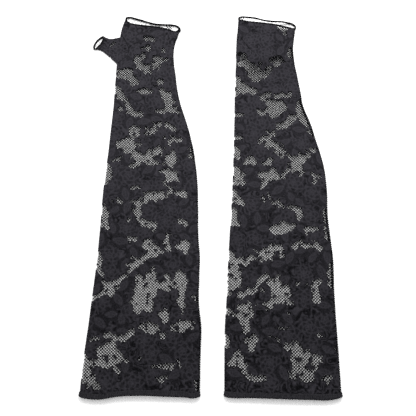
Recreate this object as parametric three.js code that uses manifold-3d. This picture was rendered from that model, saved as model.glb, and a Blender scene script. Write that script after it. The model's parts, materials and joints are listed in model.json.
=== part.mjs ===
// A pair of fingerless opera gloves in stretch lace, laid flat side by side.
// Each glove is a lace panel folded along the thumb side and sewn into a tube down the other side,
// with a separate thumb sleeve, corded edgings at the hand and thumb openings, and a turned hem that
// carries an elastic at the arm. The left glove's thumb sleeve is laid out; the right one's is
// folded under the palm. Millimetres, +Z up, +Y from the arm hem to the hand.
import * as THREE from "three";
import { mergeVertices } from "three/addons/utils/BufferGeometryUtils.js";
import Module from "manifold-3d";

const wasm = await Module();
wasm.setup();

// Driving dimensions of one glove. Its own frame has x = 0 at the fold edge of the hem and y = 0 at the hem's end.
const LACE = 0.8; // thickness of the lace
const SEWN_GAP = 0.3; // clearance between two pieces that are sewn together
const GLOVE_PITCH = 137; // from one glove to the other
const EDGE_HEIGHT = 7; // outer height of the flattened tube at its fold
const DOME = 3.2; // how much higher the middle of the tube stands than its edges

const HEM_DEPTH = 9.3;
const HEM_HEIGHT = 8; // outer height of the hem at its folds
const HEM_FLARE = 1; // how far the hem stands out past the sleeve on each side
const HEM_LACE = 0.6;
const ELASTIC_THICKNESS = 0.8;
const ELASTIC_WIDTH = 6;

const PALM_LENGTH = 444; // hem end to hand opening, along the palm layer at the thumb side
const HAND_SLANT = 16; // how much shorter the glove is on the little-finger side
const BACK_STEP = 6.5; // how much shorter the back layer is than the palm layer
const SLANT_LENGTH = 70; // length over which the sections turn into that slant

const CORD = 1.4; // diameter of the corded edgings
const SEAM_WIDTH = 4; // overlocked allowance of the side seam
const SEAM_THICKNESS = 1.2;

const THUMB_SEAM_LENGTH = 1.2;
const FOLD_CLEARANCE = 0.3; // from the thumb sleeve to the line that it folds about

// Fold edge of the panel, and the width from it to the sewn edge, along the glove.
const FOLD_EDGE = [[0, 0], [40, 0], [95, 3.5], [150, 7], [210, 10], [270, 13.2], [330, 15.3], [390, 16.2], [444, 18]];
const WIDTH = [
  [0, 114], [40, 114], [95, 109.5], [137, 106.5], [172, 103], [200, 101.5], [227, 99.5],
  [255, 95.5], [285, 87.5], [315, 78.5], [349, 71], [389, 66.5], [420, 68], [444, 69.5],
];

// Thumb sleeve: its two edges, from the glove to its open end.
const THUMB_LOWER_EDGE = [[14.2, 378.5], [6, 389.5], [-2, 396.5], [-8.5, 399]];
const THUMB_UPPER_EDGE = [[15.2, 417], [9, 414.5], [4, 414], [1.3, 415.5]];

// Where the right glove rests on its folded thumb sleeve.
const LIFT = EDGE_HEIGHT + 2 * FOLD_CLEARANCE;
const LIFT_FROM = 320;
const LIFT_FULL = 368;
const LIFT_REACH = 34; // from the fold edge to where the glove starts to drape down again
const LIFT_DRAPE = 34; // how wide that drape is

const ROUND_STEPS = 6; // facets round each folded edge
const FLAT_STEPS = 6; // facets across each flat layer
const SLEEVE_STEPS = 16;

// A smooth curve through (y, value) points.
function through(points) {
  const slope = (i) => {
    const [a, b] = [points[Math.max(i - 1, 0)], points[Math.min(i + 1, points.length - 1)]];
    return (b[1] - a[1]) / (b[0] - a[0]);
  };
  return (y) => {
    const found = points.findIndex((p) => p[0] >= y);
    const i = Math.max((found < 0 ? points.length : found) - 1, 0);
    const j = Math.min(i + 1, points.length - 1);
    const span = points[j][0] - points[i][0] || 1;
    const t = Math.min(Math.max((y - points[i][0]) / span, 0), 1);
    const [t2, t3] = [t * t, t * t * t];
    return (
      (2 * t3 - 3 * t2 + 1) * points[i][1] + (t3 - 2 * t2 + t) * span * slope(i) +
      (3 * t2 - 2 * t3) * points[j][1] + (t3 - t2) * span * slope(j)
    );
  };
}

const foldEdge = through(FOLD_EDGE);
const width = through(WIDTH);
const smooth = (value, from, to) => THREE.MathUtils.smoothstep(value, from, to);

// One closed section of a flattened tube: points [u across, z] with u from 0 at one fold to 1 at the other.
function section(across, height, dome, inset) {
  const radius = height / 2 - inset;
  const points = [];
  const add = (x, z) => {
    const u = x / across;
    const rise = z > height / 2 ? dome * Math.sin(Math.PI * THREE.MathUtils.clamp(u, 0, 1)) ** 0.8 : 0;
    points.push([u, z + rise]);
  };
  const leftCentre = inset + radius;
  const rightCentre = across - inset - radius;
  for (let i = 0; i <= ROUND_STEPS; i++) {
    const angle = -Math.PI / 2 - (Math.PI * i) / ROUND_STEPS;
    add(leftCentre + radius * Math.cos(angle), height / 2 + radius * Math.sin(angle));
  }
  for (let i = 1; i < FLAT_STEPS; i++)
    add(leftCentre + ((rightCentre - leftCentre) * i) / FLAT_STEPS, height - inset);
  for (let i = 0; i <= ROUND_STEPS; i++) {
    const angle = Math.PI / 2 - (Math.PI * i) / ROUND_STEPS;
    add(rightCentre + radius * Math.cos(angle), height / 2 + radius * Math.sin(angle));
  }
  for (let i = 1; i < FLAT_STEPS; i++)
    add(rightCentre - ((rightCentre - leftCentre) * i) / FLAT_STEPS, inset);
  return points;
}

// Joins rings of points into one closed surface. The rings follow each other round a closed loop, so that a
// hollow tube is its outer rings in order followed by its inner rings in reverse.
function loftLoop(rings) {
  const across = rings[0].length;
  const positions = rings.flat(2);
  const index = [];
  rings.forEach((_, r) => {
    const next = (r + 1) % rings.length;
    for (let i = 0; i < across; i++) {
      const j = (i + 1) % across;
      const [a, b, c, d] = [r * across + i, r * across + j, next * across + j, next * across + i];
      index.push(a, b, c, a, c, d);
    }
  });
  return new THREE.BufferGeometry()
    .setAttribute("position", new THREE.Float32BufferAttribute(positions, 3))
    .setIndex(index);
}

function solidOf(geometry) {
  const merged = geometry.clone();
  merged.deleteAttribute("normal");
  merged.deleteAttribute("uv");
  const { attributes, index } = mergeVertices(merged, 1e-4);
  return new wasm.Manifold(
    new wasm.Mesh({
      numProp: 3,
      vertProperties: new Float32Array(attributes.position.array),
      triVerts: new Uint32Array(index.array),
    }),
  );
}

function geometryOf(solid) {
  const mesh = solid.getMesh();
  const positions = [];
  for (let i = 0; i < mesh.numVert; i++)
    positions.push(...mesh.vertProperties.subarray(i * mesh.numProp, i * mesh.numProp + 3));
  return new THREE.BufferGeometry()
    .setAttribute("position", new THREE.Float32BufferAttribute(positions, 3))
    .setIndex([...mesh.triVerts]);
}

const lace = new THREE.MeshStandardMaterial({ color: 0x2b2a2e, roughness: 0.85, metalness: 0 });
const thread = new THREE.MeshStandardMaterial({ color: 0x1c1b1e, roughness: 0.7, metalness: 0 });
const rubber = new THREE.MeshStandardMaterial({ color: 0x161618, roughness: 0.9, metalness: 0 });

function named(name, geometry, material) {
  const mesh = new THREE.Mesh(geometry, material);
  mesh.name = name;
  return mesh;
}

// The glove's surface: (y along the glove, u across it, z above its underside) to a point.
// "lifted" is the glove that rests on its own folded thumb sleeve.
function place(lifted) {
  return (y, u, z, height = EDGE_HEIGHT) => {
    const x = foldEdge(y) + u * width(y);
    const turned = smooth(y, PALM_LENGTH - SLANT_LENGTH, PALM_LENGTH);
    const shorter = HAND_SLANT * u + BACK_STEP * THREE.MathUtils.clamp(z / height, 0, 1);
    const fromFold = x - foldEdge(y);
    const drape = 1 - smooth(fromFold, LIFT_REACH, LIFT_REACH + LIFT_DRAPE);
    const rise = lifted ? LIFT * smooth(y, LIFT_FROM, LIFT_FULL) * drape : 0;
    return [x, y - turned * shorter, z + rise];
  };
}

// The rings of a tube that follows the glove between two places, at a depth inside its outer surface.
function gloveRings(at, from, to, steps, inset) {
  const rings = [];
  for (let i = 0; i <= steps; i++) {
    const y = from + ((to - from) * i) / steps;
    rings.push(section(width(y), EDGE_HEIGHT, DOME, inset).map(([u, z]) => at(y, u, z)));
  }
  return rings;
}

const SLEEVE_FROM = HEM_DEPTH + SEWN_GAP;
const SLEEVE_TO = PALM_LENGTH - CORD - 2 * SEWN_GAP;

function sleeve(at, lift) {
  const outer = gloveRings(at, SLEEVE_FROM, SLEEVE_TO, SLEEVE_STEPS, 0);
  const inner = gloveRings(at, SLEEVE_FROM, SLEEVE_TO, SLEEVE_STEPS, LACE);
  const tube = solidOf(loftLoop([...outer, ...inner.reverse()]));
  // The thumb hole opens the fold edge over the length of the thumb sleeve's root.
  const hole = new THREE.BoxGeometry(2 * EDGE_HEIGHT, thumbRoot.length - 2 * LACE, EDGE_HEIGHT - 2 * LACE);
  hole.rotateZ(thumbRoot.turn);
  hole.translate(thumbRoot.middle.x, thumbRoot.middle.y, lift + EDGE_HEIGHT / 2);
  return geometryOf(tube.subtract(solidOf(hole)));
}

// A round cord that follows a closed ring of points, as a loop of small circles.
function cordRing(path, diameter, sides = 6) {
  const centres = path.map((p) => new THREE.Vector3(...p));
  const across = new THREE.Vector3();
  const up = new THREE.Vector3();
  const rings = centres.map((centre, i) => {
    const before = centres[(i - 1 + centres.length) % centres.length];
    const after = centres[(i + 1) % centres.length];
    const along = after.clone().sub(before).normalize();
    // The tube's own length lies near +Y, so the circle is drawn in the plane of that and the outward direction.
    across.set(0, 1, 0).addScaledVector(along, -along.y).normalize();
    up.crossVectors(along, across);
    return Array.from({ length: sides }, (_, k) => {
      const angle = (2 * Math.PI * k) / sides;
      return centre
        .clone()
        .addScaledVector(across, (Math.cos(angle) * diameter) / 2)
        .addScaledVector(up, (Math.sin(angle) * diameter) / 2)
        .toArray();
    });
  });
  return loftLoop(rings);
}

function handEdging(at) {
  const y = PALM_LENGTH - CORD / 2;
  const [ring] = gloveRings(at, y, y, 1, CORD / 2);
  return cordRing(ring, CORD);
}

// The overlocked allowance inside the tube, standing in from the sewn edge at half height.
function sideSeam(at) {
  const outerInset = LACE + 2 * SEWN_GAP;
  const rings = [];
  for (let i = 0; i <= SLEEVE_STEPS; i++) {
    const y = SLEEVE_FROM + ((SLEEVE_TO - CORD - SLEEVE_FROM) * i) / SLEEVE_STEPS;
    const outside = 1 - outerInset / width(y);
    const inside = 1 - (outerInset + SEAM_WIDTH) / width(y);
    const low = (EDGE_HEIGHT - SEAM_THICKNESS) / 2;
    const high = low + SEAM_THICKNESS;
    rings.push([at(y, inside, low), at(y, inside, high), at(y, outside, high), at(y, outside, low)]);
  }
  return cappedLoft(rings);
}

// Joins rings of points into a bar with flat ends.
function cappedLoft(rings) {
  const across = rings[0].length;
  const last = (rings.length - 1) * across;
  const index = [];
  for (let r = 0; r < rings.length - 1; r++)
    for (let i = 0; i < across; i++) {
      const j = (i + 1) % across;
      const [a, b, c, d] = [r * across + i, r * across + j, (r + 1) * across + j, (r + 1) * across + i];
      index.push(a, b, c, a, c, d);
    }
  for (let i = 1; i < across - 1; i++) {
    index.push(0, i + 1, i);
    index.push(last, last + i, last + i + 1);
  }
  return new THREE.BufferGeometry()
    .setAttribute("position", new THREE.Float32BufferAttribute(rings.flat(2), 3))
    .setIndex(index);
}

// A ring of the hem at one place along it, at a depth inside its outer surface.
function hemRing(y, inset) {
  const across = width(y) + 2 * HEM_FLARE;
  return section(across, HEM_HEIGHT, DOME, inset).map(([u, z]) => [foldEdge(y) - HEM_FLARE + u * across, y, z]);
}

// Radial build of the hem, from outside in: lace, the elastic in its channel, lace.
const CHANNEL = ELASTIC_THICKNESS + 2 * SEWN_GAP;
const HEM_BUILD = 2 * HEM_LACE + CHANNEL;

// The turned hem: two layers of lace joined at the free end, open towards the sleeve.
function armHem() {
  return loftLoop([
    hemRing(0, 0),
    hemRing(HEM_DEPTH, 0),
    hemRing(HEM_DEPTH, HEM_LACE),
    hemRing(HEM_LACE, HEM_LACE),
    hemRing(HEM_LACE, HEM_LACE + CHANNEL),
    hemRing(HEM_DEPTH, HEM_LACE + CHANNEL),
    hemRing(HEM_DEPTH, HEM_BUILD),
    hemRing(0, HEM_BUILD),
  ]);
}

function hemElastic() {
  const from = HEM_LACE + SEWN_GAP;
  const to = from + ELASTIC_WIDTH;
  const outside = HEM_LACE + SEWN_GAP;
  const inside = outside + ELASTIC_THICKNESS;
  return loftLoop([hemRing(from, outside), hemRing(to, outside), hemRing(to, inside), hemRing(from, inside)]);
}

// The thumb sleeve's root, along the glove's fold edge.
const rootLow = new THREE.Vector2(...THUMB_LOWER_EDGE[0]);
const rootHigh = new THREE.Vector2(...THUMB_UPPER_EDGE[0]);
const thumbRoot = {
  middle: rootLow.clone().add(rootHigh).divideScalar(2),
  length: rootLow.distanceTo(rootHigh),
  turn: Math.atan2(rootHigh.y - rootLow.y, rootHigh.x - rootLow.x) - Math.PI / 2,
};

// A ring of the thumb sleeve between a point on its lower edge and one on its upper edge.
function thumbRing([lowX, lowY], [highX, highY], inset, shift = 0) {
  const across = Math.hypot(highX - lowX, highY - lowY);
  return section(across, EDGE_HEIGHT, 0, inset).map(([u, z]) => [
    lowX + u * (highX - lowX) + shift,
    lowY + u * (highY - lowY),
    z,
  ]);
}

function thumbSleeve() {
  const rings = (inset) => THUMB_LOWER_EDGE.map((low, i) => thumbRing(low, THUMB_UPPER_EDGE[i], inset));
  return loftLoop([...rings(0), ...rings(LACE).reverse()]);
}

// The seam that joins the thumb sleeve's root to the edge of the thumb hole.
function thumbSeam() {
  const ring = (shift, inset) => thumbRing(THUMB_LOWER_EDGE[0], THUMB_UPPER_EDGE[0], inset, shift);
  const [far, near] = [SEWN_GAP, SEWN_GAP + THUMB_SEAM_LENGTH];
  return loftLoop([ring(near, 0), ring(far, 0), ring(far, LACE), ring(near, LACE)]);
}

function thumbEdging() {
  const low = new THREE.Vector2(...THUMB_LOWER_EDGE.at(-1));
  const high = new THREE.Vector2(...THUMB_UPPER_EDGE.at(-1));
  const outward = new THREE.Vector2(low.y - high.y, high.x - low.x).normalize();
  const step = outward.multiplyScalar(SEWN_GAP + CORD / 2);
  const ring = thumbRing(low.clone().add(step).toArray(), high.clone().add(step).toArray(), CORD / 2);
  return cordRing(ring, CORD);
}

// The line that the thumb sleeve folds about: along its root, level with the face that it folds against.
function foldLine(height) {
  const line = new THREE.Group();
  line.position.set(thumbRoot.middle.x, thumbRoot.middle.y, height);
  line.rotation.z = thumbRoot.turn;
  return line;
}

function thumb(side, lift, foldedUnder) {
  const line = foldLine(lift - FOLD_CLEARANCE);
  const turned = new THREE.Group();
  turned.rotation.y = foldedUnder ? Math.PI : 0;
  const back = new THREE.Group();
  line.updateMatrix();
  back.applyMatrix4(line.matrix.clone().invert());
  const lifted = new THREE.Group();
  lifted.position.z = lift;
  lifted.add(
    named(side + "_thumb_sleeve", thumbSleeve(), lace),
    named(side + "_thumb_edging", thumbEdging(), thread),
  );
  back.add(lifted);
  turned.add(back);
  line.add(turned);
  return line;
}

function glove(side, foldedUnder) {
  const at = place(foldedUnder);
  const lift = foldedUnder ? LIFT : 0;
  const group = new THREE.Group();
  const seam = named(side + "_thumb_seam", thumbSeam(), thread);
  seam.position.z = lift;
  group.add(
    named(side + "_sleeve", sleeve(at, lift), lace),
    named(side + "_side_seam", sideSeam(at), thread),
    named(side + "_hand_edging", handEdging(at), thread),
    named(side + "_arm_hem", armHem(), lace),
    named(side + "_hem_elastic", hemElastic(), rubber),
    seam,
    thumb(side, lift, foldedUnder),
  );
  return group;
}

const pair = new THREE.Group();
const leftGlove = glove("left", false);
const rightGlove = glove("right", true);
rightGlove.position.x = GLOVE_PITCH;
pair.add(leftGlove, rightGlove);

// The pair's origin is the middle of its footprint, on the surface that it lies on.
const box = new THREE.Box3().setFromObject(pair, true);
const middle = box.getCenter(new THREE.Vector3());
pair.position.set(-middle.x, -middle.y, -box.min.z);

export default pair;
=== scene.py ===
"""A pair of fingerless lace opera gloves lying flat: the visual model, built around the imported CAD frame.

Each glove is two layers of real lace geometry: a clothwork sheet cut open in windows, and a net of
crossed threads across every window. Lengths in this file are in millimetres of the glove's own frame,
where x = 0 is the fold edge at the hem and y = 0 is the hem's end, and are turned into metres of the
row frame when a mesh is made.
"""

import json
import math

import bpy
import numpy as np
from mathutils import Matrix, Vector


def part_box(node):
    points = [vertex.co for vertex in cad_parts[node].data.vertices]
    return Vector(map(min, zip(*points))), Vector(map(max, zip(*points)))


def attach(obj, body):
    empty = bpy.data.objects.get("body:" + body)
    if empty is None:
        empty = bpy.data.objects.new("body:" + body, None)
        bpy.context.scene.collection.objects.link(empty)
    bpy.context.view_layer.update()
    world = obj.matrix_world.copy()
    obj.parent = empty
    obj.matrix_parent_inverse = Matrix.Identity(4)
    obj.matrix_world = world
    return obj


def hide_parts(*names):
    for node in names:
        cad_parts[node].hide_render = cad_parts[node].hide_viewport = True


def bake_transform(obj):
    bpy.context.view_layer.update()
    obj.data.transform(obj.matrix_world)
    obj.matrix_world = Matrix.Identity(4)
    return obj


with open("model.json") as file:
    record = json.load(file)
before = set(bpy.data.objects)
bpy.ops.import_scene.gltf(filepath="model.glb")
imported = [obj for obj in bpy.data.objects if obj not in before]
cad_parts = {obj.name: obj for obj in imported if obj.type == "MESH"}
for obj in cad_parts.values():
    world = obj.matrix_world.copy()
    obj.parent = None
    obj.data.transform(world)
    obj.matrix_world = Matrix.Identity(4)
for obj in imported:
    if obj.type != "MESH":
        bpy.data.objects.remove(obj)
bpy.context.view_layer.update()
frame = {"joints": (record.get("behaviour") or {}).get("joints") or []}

MM = 0.001
VIEW_ELEVATION = math.radians(66)
SEEN_SLOPE = 1 / math.tan(VIEW_ELEVATION)  # how far a height moves a point up the view
SEEN_LEVEL = 3  # the level at which windows and edges are given as they are seen
HEM_FLARE = 1  # how far the CAD hem stands out past the fold edge

# How the edges of each glove lie: (y, x) along the fold edge and along the sewn edge.
FOLD_EDGE = {
    "left": [
        (0, 0.5), (40, 2), (70, 4.5), (100, 6.5), (130, 8.5), (180, 10.5), (210, 11), (240, 12.5),
        (260, 14), (290, 15.5), (320, 17), (350, 17.5), (375, 18), (413, 20), (425, 21.5), (445, 27),
    ],
    "right": [
        (0, 0), (50, 0.5), (70, 1), (100, 3), (140, 5), (170, 7), (200, 9), (235, 11), (260, 12),
        (300, 13.5), (340, 14.5), (370, 16), (390, 17), (410, 18), (445, 20),
    ],
}
SEWN_EDGE = {
    "left": [
        (0, 114), (40, 114.5), (75, 115), (92, 113), (120, 113), (145, 113.5), (165, 112), (200, 111.5),
        (230, 110.5), (250, 108.5), (265, 106.5), (280, 103.5), (300, 98.5), (320, 92.5), (340, 88),
        (360, 85.5), (375, 83.5), (390, 82.5), (405, 84), (415, 87), (430, 89.5), (445, 90),
    ],
    "right": [
        (0, 110.5), (40, 110.5), (110, 110.5), (140, 111.5), (170, 110), (190, 109), (215, 110),
        (235, 109.5), (250, 108), (265, 105), (280, 101.5), (300, 97), (320, 90.5), (340, 88),
        (360, 85.5), (380, 83), (400, 82.5), (415, 84.5), (430, 86.5), (445, 87),
    ],
}

# Where each layer ends at the hand: (x, y) as seen.
PALM_END = {
    "left": [
        (24, 440), (28, 441), (40, 438), (50, 434.5), (60, 431.5), (70, 430.5), (80, 430), (86, 428),
        (90, 424),
    ],
    "right": [
        (18, 437), (22, 439.5), (30, 439.5), (40, 438), (50, 435), (57, 434), (75, 434), (82, 432),
        (87, 428),
    ],
}
BACK_END = {
    "left": [
        (24, 438), (30, 433), (40, 430.3), (50, 428.7), (58, 427.8), (65, 426.8), (75, 423.5),
        (82, 421), (90, 421),
    ],
    "right": [
        (18, 436), (22, 435), (30, 432.8), (40, 431.5), (50, 430), (57, 429.3), (65, 428.3),
        (75, 426.5), (87, 424.5),
    ],
}

# Windows in the clothwork, as strokes of (x, y, half width), where they are seen.
WINDOWS = {
    "left": [
        [(3, 38, 3), (5, 28, 5), (5, 20, 4), (12, 18, 3), (17, 13, 2.5)],
        [(20, 47, 6), (27, 48, 8), (31, 41, 8), (24, 37, 6), (24, 32, 3)], [(12, 36, 2), (18, 36, 3)],
        [(33, 31, 2), (36, 26, 1.5)], [(40, 38, 2), (44, 37, 2)], [(39, 59, 4), (47, 65, 3)],
        [(8, 58, 1.5), (14, 59, 1.5)], [(21, 62, 2), (28, 61, 2.5)],
        [(57, 72, 3), (64, 70, 6), (72, 68, 4)], [(87, 69, 3), (96, 71, 5), (103, 74, 3)],
        [(75, 84, 3), (80, 83, 3), (79, 77, 3)], [(78, 64, 2), (77, 60, 2)],
        [(52, 122, 3), (56, 112, 7), (52, 103, 4)], [(64, 124, 5), (66, 114, 5), (66, 103, 4)],
        [(56, 103, 5), (54, 95, 6), (53, 88, 4)], [(62, 95, 5), (64, 88, 3)],
        [(73, 113, 3), (81, 113, 6), (90, 114, 4)], [(81, 118, 2), (81, 124, 2)],
        [(93, 125, 4), (95, 118, 5), (96, 108, 3), (94, 96, 3), (98, 90, 2.5)],
        [(20, 114, 4), (26, 111, 5), (24, 104, 3)], [(8, 100, 2), (14, 103, 2), (20, 107, 2)],
        [(30, 117, 2), (34, 120, 2), (39, 125, 2.5)],
        [(46, 134, 3), (53, 139, 3.5), (58, 143, 3), (65, 148, 4)], [(10, 146, 3), (11, 132, 3)],
        [(14, 126, 2), (16, 124, 1.5)], [(112, 102, 2), (112, 96, 2)], [(111, 17, 2.5), (112, 12, 3)],
        [(68, 32, 1), (77, 32, 1.8), (90, 34, 1)], [(77, 21, 2)], [(55, 39, 1.5)],
        [(60, 160, 4), (58, 156, 4), (66, 152, 5), (69, 147, 4)],
        [(80, 165, 2), (79, 160, 3), (80, 154, 3)], [(91, 154, 3), (97, 156, 6), (98, 149, 3)],
        [(41, 164, 2), (46, 163, 2)],
        [(12, 198, 2.5), (15, 192, 4), (15, 185, 3), (15, 178, 3), (18, 174, 2)],
        [(45, 198, 3), (49, 193, 4), (50, 186, 3), (55, 181, 3), (66, 179, 3)],
        [(47, 201, 3), (52, 205, 4), (58, 209, 4), (67, 213, 4), (76, 213, 3), (83, 216, 2), (97, 213, 3)],
        [(22, 206, 2), (30, 206, 2.5)], [(39, 185, 2)], [(93, 183, 2), (98, 180, 2.5)],
        [(43, 221, 2), (49, 222, 2)], [(13, 246, 3), (16, 237, 4), (13, 228, 3)],
        [(76, 240, 3), (83, 236, 6), (79, 231, 3)], [(78, 258, 3), (83, 255, 5), (82, 248, 2)],
        [(84, 261, 2)], [(42, 262, 3), (47, 257, 5), (54, 255, 4), (60, 261, 3), (68, 266, 3)],
        [(55, 251, 2), (66, 251, 2.5)], [(40, 247, 2.5), (46, 249, 2)],
        [(27, 273, 4), (33, 274, 7), (37, 270, 6), (41, 274, 3)], [(34, 265, 3)],
        [(80, 277, 2), (86, 279, 3)], [(38, 291, 2), (43, 290, 2.5)], [(61, 288, 2.5)], [(83, 293, 3)],
        [(20, 253, 2), (27, 257, 1.5)], [(104, 264, 2.5), (103, 258, 2)], [(68, 298, 3)],
        [(77, 297, 3)], [(33, 324, 2), (36, 315, 2), (41, 310, 2), (47, 311, 3)],
        [(73, 338, 2.5), (76, 332, 4), (78, 324, 4), (77, 318, 3), (83, 316, 3)],
        [(72, 314, 2), (66, 315, 1.5)], [(20, 341, 2), (24, 334, 3), (28, 330, 2)], [(25, 317, 2)],
        [(45, 340, 2), (50, 341, 2.5), (55, 339, 1.5)], [(68, 352, 3)],
        [(24, 362, 3), (31, 362, 3.5), (35, 357, 4), (39, 352, 3.5)], [(22, 367, 2), (33, 367, 3)],
        [(44, 374, 3), (50, 371, 3.5), (55, 366, 2)], [(60, 372, 2), (62, 376, 3)],
        [(62, 385, 2.5), (66, 382, 3.5)], [(40, 381, 2), (46, 386, 3)], [(50, 412, 2), (56, 411, 3)],
        [(53, 400, 2)], [(70, 395, 2)],
    ],
    "right": [
        [(2, 60, 3), (3, 52, 2)], [(9, 36, 4), (14, 38, 5), (13, 43, 3)], [(20, 33, 2)],
        [(18, 28, 2), (24, 22, 2.5), (30, 20, 2.5), (38, 21, 2)],
        [(22, 57, 3), (28, 57, 4), (26, 49, 3)],
        [(62, 50, 4), (70, 53, 3), (72, 46, 6), (70, 38, 6), (73, 30, 5), (76, 22, 5)],
        [(77, 38, 4), (80, 46, 3)], [(68, 30, 3), (67, 24, 4)], [(83, 25, 3)],
        [(88, 41, 3), (87, 35, 3)], [(95, 20, 1.5), (100, 21, 2)],
        [(16, 90, 3), (24, 89, 4), (27, 85, 2)], [(15, 83, 3), (19, 77, 5), (22, 70, 4), (20, 66, 2)],
        [(3, 86, 3), (11, 82, 2)], [(45, 62, 1), (52, 57, 1.3)], [(55, 69, 1), (62, 69, 1.5)],
        [(93, 62, 2)], [(64, 84, 1.5)],
        [(7, 146, 4), (10, 138, 4), (12, 132, 3), (8, 126, 4), (9, 117, 5), (6, 106, 3)],
        [(14, 125, 3), (14, 113, 3)], [(17, 140, 3), (24, 139, 3), (31, 142, 2)],
        [(16, 103, 3), (22, 105, 3), (28, 107, 3), (33, 111, 2)], [(37, 118, 3), (43, 123, 2.5)],
        [(46, 116, 4), (52, 114, 6), (57, 106, 6), (62, 104, 4)], [(64, 111, 2)],
        [(45, 93, 3), (50, 97, 3), (58, 98, 3), (67, 95, 2)],
        [(95, 116, 3), (90, 113, 4), (91, 105, 3), (92, 98, 4)], [(84, 114, 1.5)],
        [(40, 147, 4), (47, 147, 4)], [(109, 133, 3.5), (108, 124, 3.5), (107.5, 113, 3)],
        [(109, 50, 2)], [(109, 86, 2)], [(74, 115, 2)], [(50, 153, 4), (56, 154, 3.5)], [(60, 145, 2)],
        [(73, 155, 3), (79, 158, 3.5), (85, 156, 3)], [(95, 156, 3), (99, 153, 3)],
        [(50, 174, 3), (57, 174, 6), (62, 178, 5), (66, 174, 4), (72, 178, 2.5)],
        [(86, 174, 2.5), (96, 174, 2)],
        [(106, 193, 2.5), (108, 184, 3), (107, 176, 3), (107, 164, 2.5)],
        [(11, 196, 3), (12, 189, 3), (9, 181, 2.5), (15, 180, 2.5)],
        [(77, 196, 3.5), (80, 190, 3), (78, 186, 2)], [(67, 198, 1.3), (73, 197, 1.5)],
        [(53, 203, 2), (58, 201, 3), (62, 199, 2)], [(42, 209, 2), (47, 210, 2)],
        [(12, 218, 2), (13, 212, 3), (17, 206, 4), (21, 203, 3)],
        [(14, 242, 4), (17, 233, 5), (14, 227, 3)], [(22, 227, 3)], [(44, 227, 3), (42, 222, 1.5)],
        [(42, 236, 4), (49, 235, 5), (56, 235, 5), (61, 234, 2)], [(53, 241, 3)],
        [(64, 238, 1.5), (70, 241, 1.5)], [(43, 249, 1.5), (50, 251, 3)],
        [(25, 251, 2.5), (30, 254, 5), (34, 251, 3)],
        [(74, 256, 3), (80, 252, 5), (87, 256, 4), (92, 260, 2)], [(79, 245, 4), (84, 242, 2)],
        [(95, 238, 1.5), (99, 232, 2.5), (103, 235, 1.5)], [(15, 267, 3), (16, 258, 3)], [(16, 281, 3)],
        [(50, 273, 3), (54, 275, 3), (60, 269, 3.5), (62, 264, 3)], [(42, 279, 1.5), (50, 281, 2)],
        [(55, 286, 2)], [(98, 288, 2.5)], [(98, 265, 2.5)],
        [(66, 295, 3), (72, 300, 4), (76, 306, 3.5), (81, 308, 2)],
        [(85, 324, 3), (87, 314, 4), (89, 306, 4), (92, 298, 3)],
        [(53, 325, 3), (58, 323, 5), (62, 317, 6), (57, 310, 4)], [(65, 326, 3), (68, 319, 3)],
        [(52, 316, 4)], [(43, 313, 2.5)], [(14, 309, 1.5), (21, 310, 2)],
        [(46, 333, 3), (52, 336, 2.5)], [(60, 334, 2.5), (67, 335, 2), (74, 334, 2)],
        [(24, 340, 2.5), (30, 343, 3), (36, 340, 2.5)], [(17, 353, 2.5), (19, 347, 2)],
        [(16, 337, 2.5)], [(22, 376, 3), (28, 375, 3.5), (33, 371, 5), (38, 366, 6), (38, 357, 4)],
        [(33, 362, 3)], [(43, 363, 3), (48, 361, 2.5), (53, 368, 3)], [(20, 388, 2), (25, 385, 2.5)],
        [(66, 383, 2), (62, 379, 2)], [(79, 394, 3), (79, 389, 3)], [(67, 426, 1.5), (73, 424, 2.5)],
    ],
}

# The thumb sleeve's two edges, (x, y), and its open end in each layer, (place across it, x).
THUMB_LOWER = [(-9, 397.6), (-6, 397.2), (0, 395.2), (6, 390), (12, 384), (18, 377.8)]
THUMB_UPPER = [(-9, 418), (1, 415), (5, 413), (9, 411.7), (13, 412.3), (20, 414)]
THUMB_PALM_END = [(0, -9), (0.2, -9.2), (0.5, -7), (0.8, -3), (1, 0.8)]
THUMB_BACK_END = [(0, -6.6), (0.2, -4), (0.5, -0.6), (0.8, 0.9), (1, 1.5)]
THUMB_WINDOWS = [[(10, 402, 0.8), (14, 405.5, 1.5)], [(5, 401, 0.5)]]

# The seam that sets the thumb sleeve into the back of the hand, (x, y) as seen.
GUSSET_SEAM = {
    "left": [
        (20.5, 416), (25, 411), (29, 402), (31, 394), (28, 386), (19, 377.5),
    ],
    "right": [
        (19, 416), (24, 407), (29, 399), (34, 391.5), (31, 385), (18.5, 378),
    ],
}

# The free edge of the hem, (x, y) as seen.
HEM_END = {
    "left": [
        (-1, 5), (2, 2.8), (8, 1.3), (20, 0.6), (35, 3), (60, 4), (80, 3.2), (100, 2.5), (110, 2),
        (115, 4),
    ],
    "right": [
        (-1, 4.2), (2, 2.8), (8, 2), (20, 2), (50, 1), (80, 0.2), (100, 0.2), (108, 2), (112, 4),
    ],
}

# Heights of the two layers of a flattened glove above the surface that it lies on.
PALM_LEVEL = 0.5
BACK_LEVEL = 1.9
MIDDLE_LEVEL = (PALM_LEVEL + BACK_LEVEL) / 2
DOME = 0.7
HEM_RISE = {"palm": 0.8, "back": 2.2}  # how much higher a layer is where it runs into the hem
EDGE_ROUNDING = 5

# The right glove stands up on its own folded thumb sleeve.
LIFT_ALONG = (362, 378.5)  # from y to y, where the glove rises onto the sleeve
LIFT_ACROSS = (34, 66)  # from the fold edge, where it drapes down again beside the sleeve

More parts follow.
